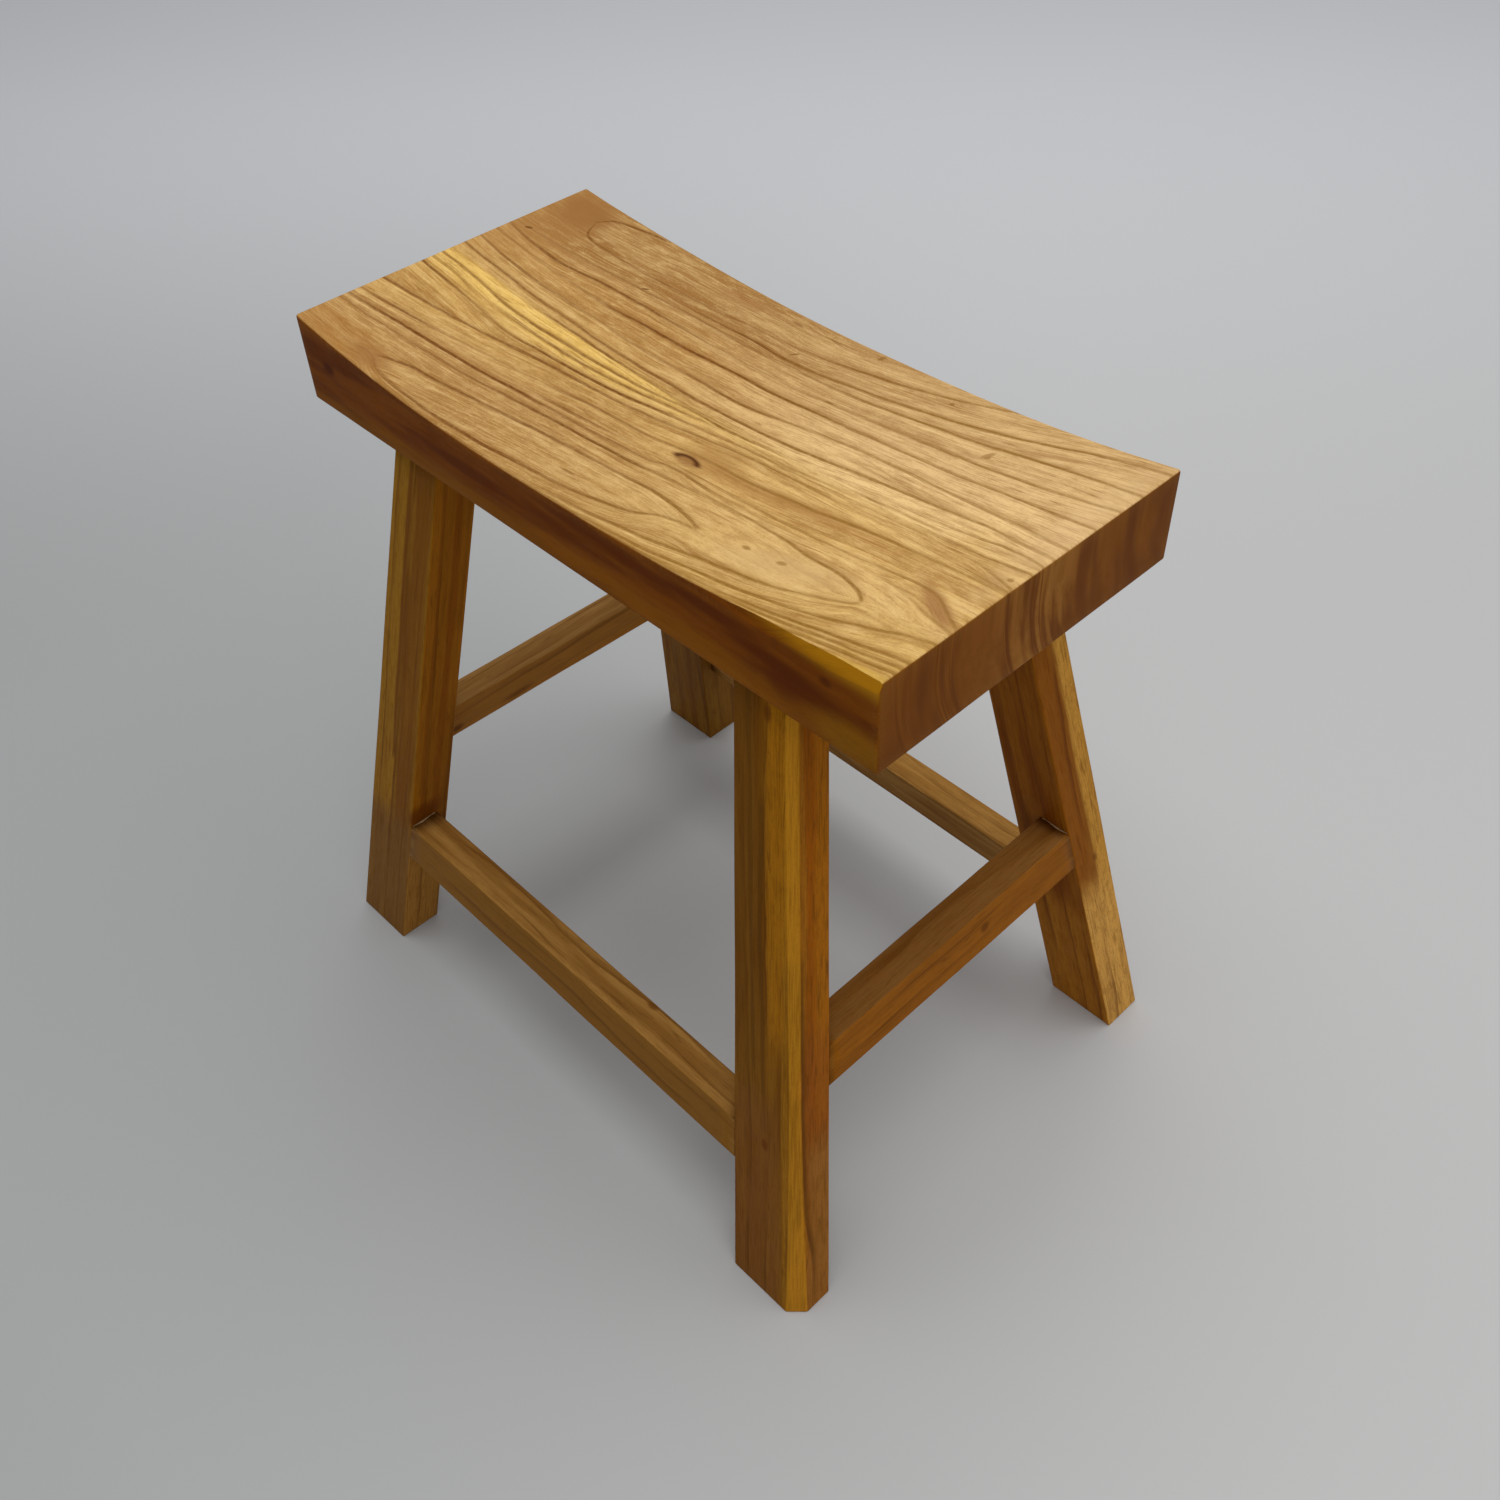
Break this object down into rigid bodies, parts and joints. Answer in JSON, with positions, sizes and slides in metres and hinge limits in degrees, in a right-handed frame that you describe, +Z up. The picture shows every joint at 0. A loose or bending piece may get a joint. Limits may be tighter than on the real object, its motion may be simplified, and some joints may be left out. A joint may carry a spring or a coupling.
{
  "type": "wooden bench",
  "caption": "Backless wooden bench for one sitter: thick plank seat hollowed along its length, on splayed tapered legs tied by rails set at two heights.",
  "frame": {"origin": "middle of the footprint, on the floor that the feet stand on", "axes": "+X along the seat to the right, +Y across the seat to the back, +Z up"},
  "size_m": [0.4466, 0.3244, 0.4519],
  "materials": {
    "wood": "satin lacquer over honey-brown solid wood"
  },
  "bodies": {
    "root": {"seat": "wood", "front_left_leg": "wood", "front_right_leg": "wood", "back_right_leg": "wood", "back_left_leg": "wood", "front_rail": "wood", "back_rail": "wood", "left_rail": "wood", "right_rail": "wood"}
  },
  "joints": []
}
